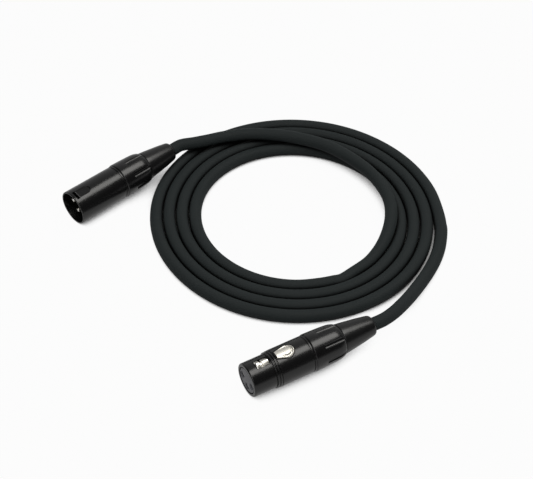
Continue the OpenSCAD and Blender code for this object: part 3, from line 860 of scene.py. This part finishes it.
def flute():
    """Cutter of one flute, blunt in front, which deepens towards the back."""
    body = lathe("flute", [(0, 0.02), (0, flute_r, 0.25), (17, flute_r), (17, 0.02)], 48)
    body.data.transform(
        Matrix.Translation((flute_front, 0, bushing_r + flute_r - flute_depth))
        @ Matrix.Rotation(math.radians(flute_lean), 4, "Y"))
    return shade_softly(body)


def bushing(name, shoulder, grip_turn, place, body, node, paint):
    r, end = bushing_r, shoulder + bushing_length
    piece = lathe(name, [
        (shoulder + 0.05, thread_r + 0.05), (shoulder + 0.05, r - 0.45, 0.1),
        (shoulder + 0.5, r, 0.2), (shoulder + 3, r - 0.05),
        (shoulder + bushing_length * 0.38, r - 0.13),
        (shoulder + bushing_length * 0.62, r - 0.28),
        (end - 3.6, r - 0.48, 0.8), (end - 2.3, r - 0.72, 0.6), (end - 0.9, r - 1.18, 0.5),
        (end - 0.2, r - 1.7, 0.25), (end, r - 2, 0.15), (end, 6.75, 0.1),
        (end - 2.4, 6.75), (end - 2.4, 7.2), (shoulder + 6.8, 7.2),
        (shoulder + 6.3, thread_r + 0.05)])
    cutters = round_the_axis("flutes", flute(), None, flute_number, grip_turn,
                             360 / flute_number)
    cutters.data.transform(Matrix.Translation((shoulder, 0, 0)))
    cut_away(piece, cutters)
    edge = piece.modifiers.new("edge", "BEVEL")
    edge.width, edge.segments, edge.angle_limit = 0.1, 2, math.radians(26)
    settled(piece)
    laid_down(piece, place, 40)
    piece.data.materials.append(paint)
    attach(piece, body)
    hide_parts(node)


bushing("male_plug_bushing", male_length, 43.0, male_place, "male bushing", "male_bushing",
        painted_black("male_bushing_paint", male_place, (28.4,)))
bushing("female_plug_bushing", female_length, 38.0, female_place, "female bushing",
        "female_bushing", painted_black("female_bushing_paint", female_place, (31.3,)))


# ------------------------------------------------------------- bend reliefs
# A tapered boot of firm black rubber round the cable. Its flange is trapped in
# the bushing, so it comes away with it. It is moulded in two halves of a tool,
# which leaves a hair line along each side.


def boot_rubber(name, place):
    rubber = Finish(name, Specular_IOR_Level=0.5)
    here = rubber.own_place(place)
    _, _, up = rubber.split(here)
    seam = 1 - rubber.soft_step(abs(up), 0.00003, 0.00012)
    grain = rubber.noise(here, 4200, 3)
    cloud = rubber.noise(here, 120, 4, 0.6)
    rubber.wear(Base_Color=rubber.tint(cloud, (0.0040, 0.0040, 0.0043),
                                       (0.0080, 0.0080, 0.0084)),
                Roughness=0.24 + 0.08 * cloud + 0.06 * grain)
    rubber.relief(grain * 0.5 + seam * 1.6, 0.00003, 0.5)
    return rubber.material


boot_length = 17.4


def boot(name, shoulder, place, body, node):
    start, back = shoulder + 12.25, shoulder + bushing_length
    tip = back + boot_length
    piece = lathe(name, [
        (start, 3.25), (start, 7.15), (back - 2.45, 7.15), (back - 2.45, 6.7),
        (back + 0.05, 6.7), (back + 0.05, 6.95, 0.08), (back + 0.32, 7.15, 0.15),
        (back + 3, 6.88), (back + 7, 6.34), (back + 11, 5.79),
        (tip - 2.4, 5.12, 0.9), (tip - 0.95, 4.84, 0.45), (tip - 0.3, 4.45, 0.3),
        (tip, 3.9, 0.25), (tip, 3.25, 0.12)])
    laid_down(piece, place, 40)
    piece.data.materials.append(boot_rubber(name + "_rubber", place))
    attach(piece, body)
    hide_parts(node)


boot("male_plug_boot", male_length, male_place, "male boot", "male_boot")
boot("female_plug_boot", female_length, female_place, "female boot", "female_boot")


# ---------------------------------------------- what the bushings close over
# Inside each plug a split collet of grey nylon grips the jacket, and the
# screen and the two insulated cores run on to the solder cups.
for plug, place in (("male", male_place), ("female", female_place)):
    nylon = moulded(plug + "_chuck_nylon", place, (0.10, 0.10, 0.10),
                    (0.15, 0.15, 0.15), 0.45)
    inner_jacket = moulded(plug + "_inner_jacket", place, dark_jacket, pale_jacket, 0.55)
    copper = plated_silver(plug + "_screen_copper", place)
    red = moulded(plug + "_red_core", place, (0.38, 0.02, 0.02), (0.52, 0.035, 0.03), 0.4)
    pale = moulded(plug + "_white_core", place, (0.70, 0.70, 0.68), (0.82, 0.82, 0.80), 0.4)
    for node, material in (("_chuck", nylon), ("_cable_end", inner_jacket),
                           ("_wire_1", copper), ("_wire_2", red), ("_wire_3", pale)):
        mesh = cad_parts[plug + node].data
        mesh.materials.clear()
        mesh.materials.append(material)
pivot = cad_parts["latch_pin"].data
pivot.materials.clear()
pivot.materials.append(steel)

bpy.context.view_layer.update()
